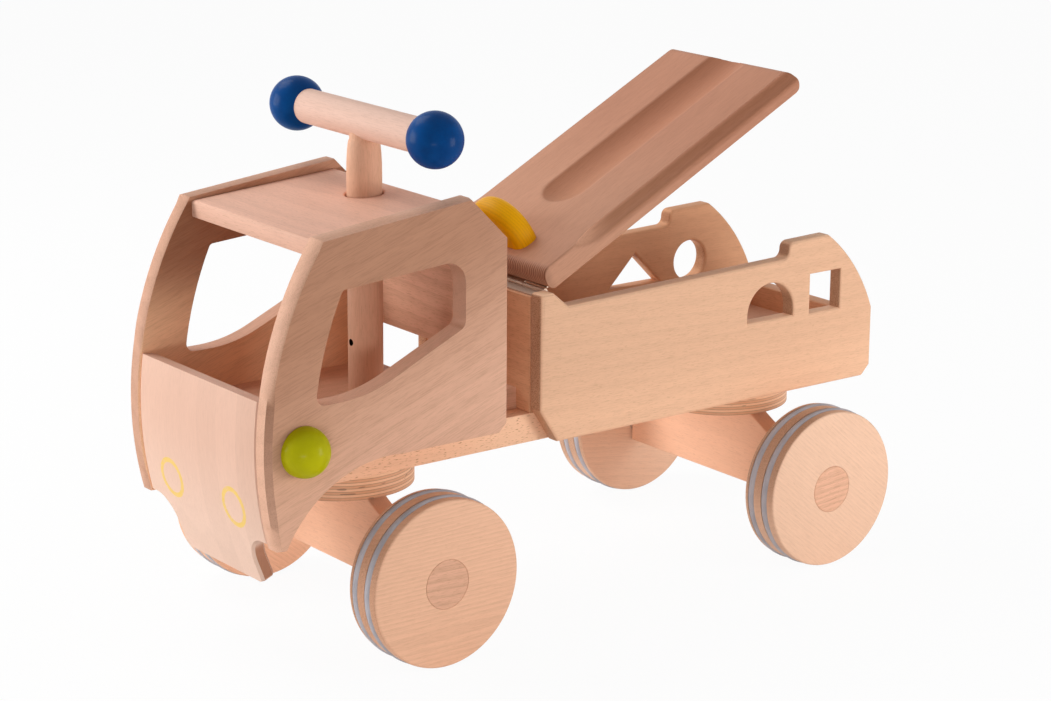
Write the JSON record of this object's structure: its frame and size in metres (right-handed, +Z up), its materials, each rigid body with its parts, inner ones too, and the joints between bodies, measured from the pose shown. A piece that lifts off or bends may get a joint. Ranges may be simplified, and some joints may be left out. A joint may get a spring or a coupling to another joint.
{
  "type": "ride-on toy truck",
  "caption": "Wooden ride-on truck with a curved open cab, steered front axle, wheels with rubber rings and a hinged seat lid over an open load box.",
  "frame": {"origin": "on the floor, in the middle of the bounding box", "axes": "+X forward, +Y to the truck's left, +Z up"},
  "size_m": [0.641, 0.2972, 0.4302],
  "materials": {
    "beech": "oiled beech",
    "beech_dark": "oiled beech, darker pieces",
    "plywood": "oiled plywood with visible layers",
    "rubber": "matt grey rubber cord",
    "steel": "bright steel",
    "blue": "glossy blue lacquer on wood",
    "green": "satin green lacquer on wood",
    "amber": "amber stain on wood, grain showing"
  },
  "bodies": {
    "frame": {"chassis_board": "beech", "spine_block": "beech", "cab_floor": "beech", "box_floor": "beech", "cab_side_left": "beech", "cab_side_right": "beech", "cab_roof": "beech", "cab_front_panel": "beech", "cab_back_board": "beech", "cab_dowels": "beech_dark", "side_knob_left": "green", "side_knob_right": "green", "box_side_left": "beech", "box_side_right": "beech", "box_front_wall": "beech", "box_rear_wall": "beech", "box_dowels": "beech_dark", "hinge_leaf_fixed": "steel", "hinge_pin": "steel", "hinge_screws_fixed": "steel", "rear_disc": "plywood", "rear_disc_screws": "steel", "rear_beam": "beech_dark", "rear_axle": "steel", "rear_axle_caps": "steel", "rear_washers": "steel"},
    "steering": {"steering_column": "beech", "handlebar": "beech", "handle_ball_left": "blue", "handle_ball_right": "blue", "column_washer": "beech_dark", "column_pin": "steel", "front_disc": "plywood", "front_disc_screws": "steel", "front_beam": "beech_dark", "front_axle": "steel", "front_axle_caps": "steel", "front_washers": "steel"},
    "wheel_front_left": {"wheel_front_left": "beech", "tyres_front_left": "rubber", "plug_front_left": "beech_dark"},
    "wheel_front_right": {"wheel_front_right": "beech", "tyres_front_right": "rubber", "plug_front_right": "beech_dark"},
    "wheel_rear_left": {"wheel_rear_left": "beech", "tyres_rear_left": "rubber", "plug_rear_left": "beech_dark"},
    "wheel_rear_right": {"wheel_rear_right": "beech", "tyres_rear_right": "rubber", "plug_rear_right": "beech_dark"},
    "lid": {"seat_lid": "beech", "pommel": "amber", "pommel_pegs": "beech_dark", "hinge_leaf_moving": "steel", "hinge_screws_moving": "steel"}
  },
  "joints": [
    {"name": "steer", "type": "hinge", "parent": "frame", "child": "steering", "pos_m": [0.1603, 0, 0.15], "axis": [0, 0, 1], "range_deg": [-20, 20]},
    {"name": "roll_front_left", "type": "hinge", "parent": "steering", "child": "wheel_front_left", "pos_m": [0.186, 0.1308, 0.069], "axis": [0, 1, 0], "continuous": true},
    {"name": "roll_front_right", "type": "hinge", "parent": "steering", "child": "wheel_front_right", "pos_m": [0.186, -0.1308, 0.069], "axis": [0, 1, 0], "continuous": true},
    {"name": "roll_rear_left", "type": "hinge", "parent": "frame", "child": "wheel_rear_left", "pos_m": [-0.22, 0.1308, 0.069], "axis": [0, 1, 0], "continuous": true},
    {"name": "roll_rear_right", "type": "hinge", "parent": "frame", "child": "wheel_rear_right", "pos_m": [-0.22, -0.1308, 0.069], "axis": [0, 1, 0], "continuous": true},
    {"name": "lid_hinge", "type": "hinge", "parent": "frame", "child": "lid", "pos_m": [0.03175, 0, 0.2646], "axis": [0, 1, 0], "range_deg": [-25.5, 37.5]}
  ]
}
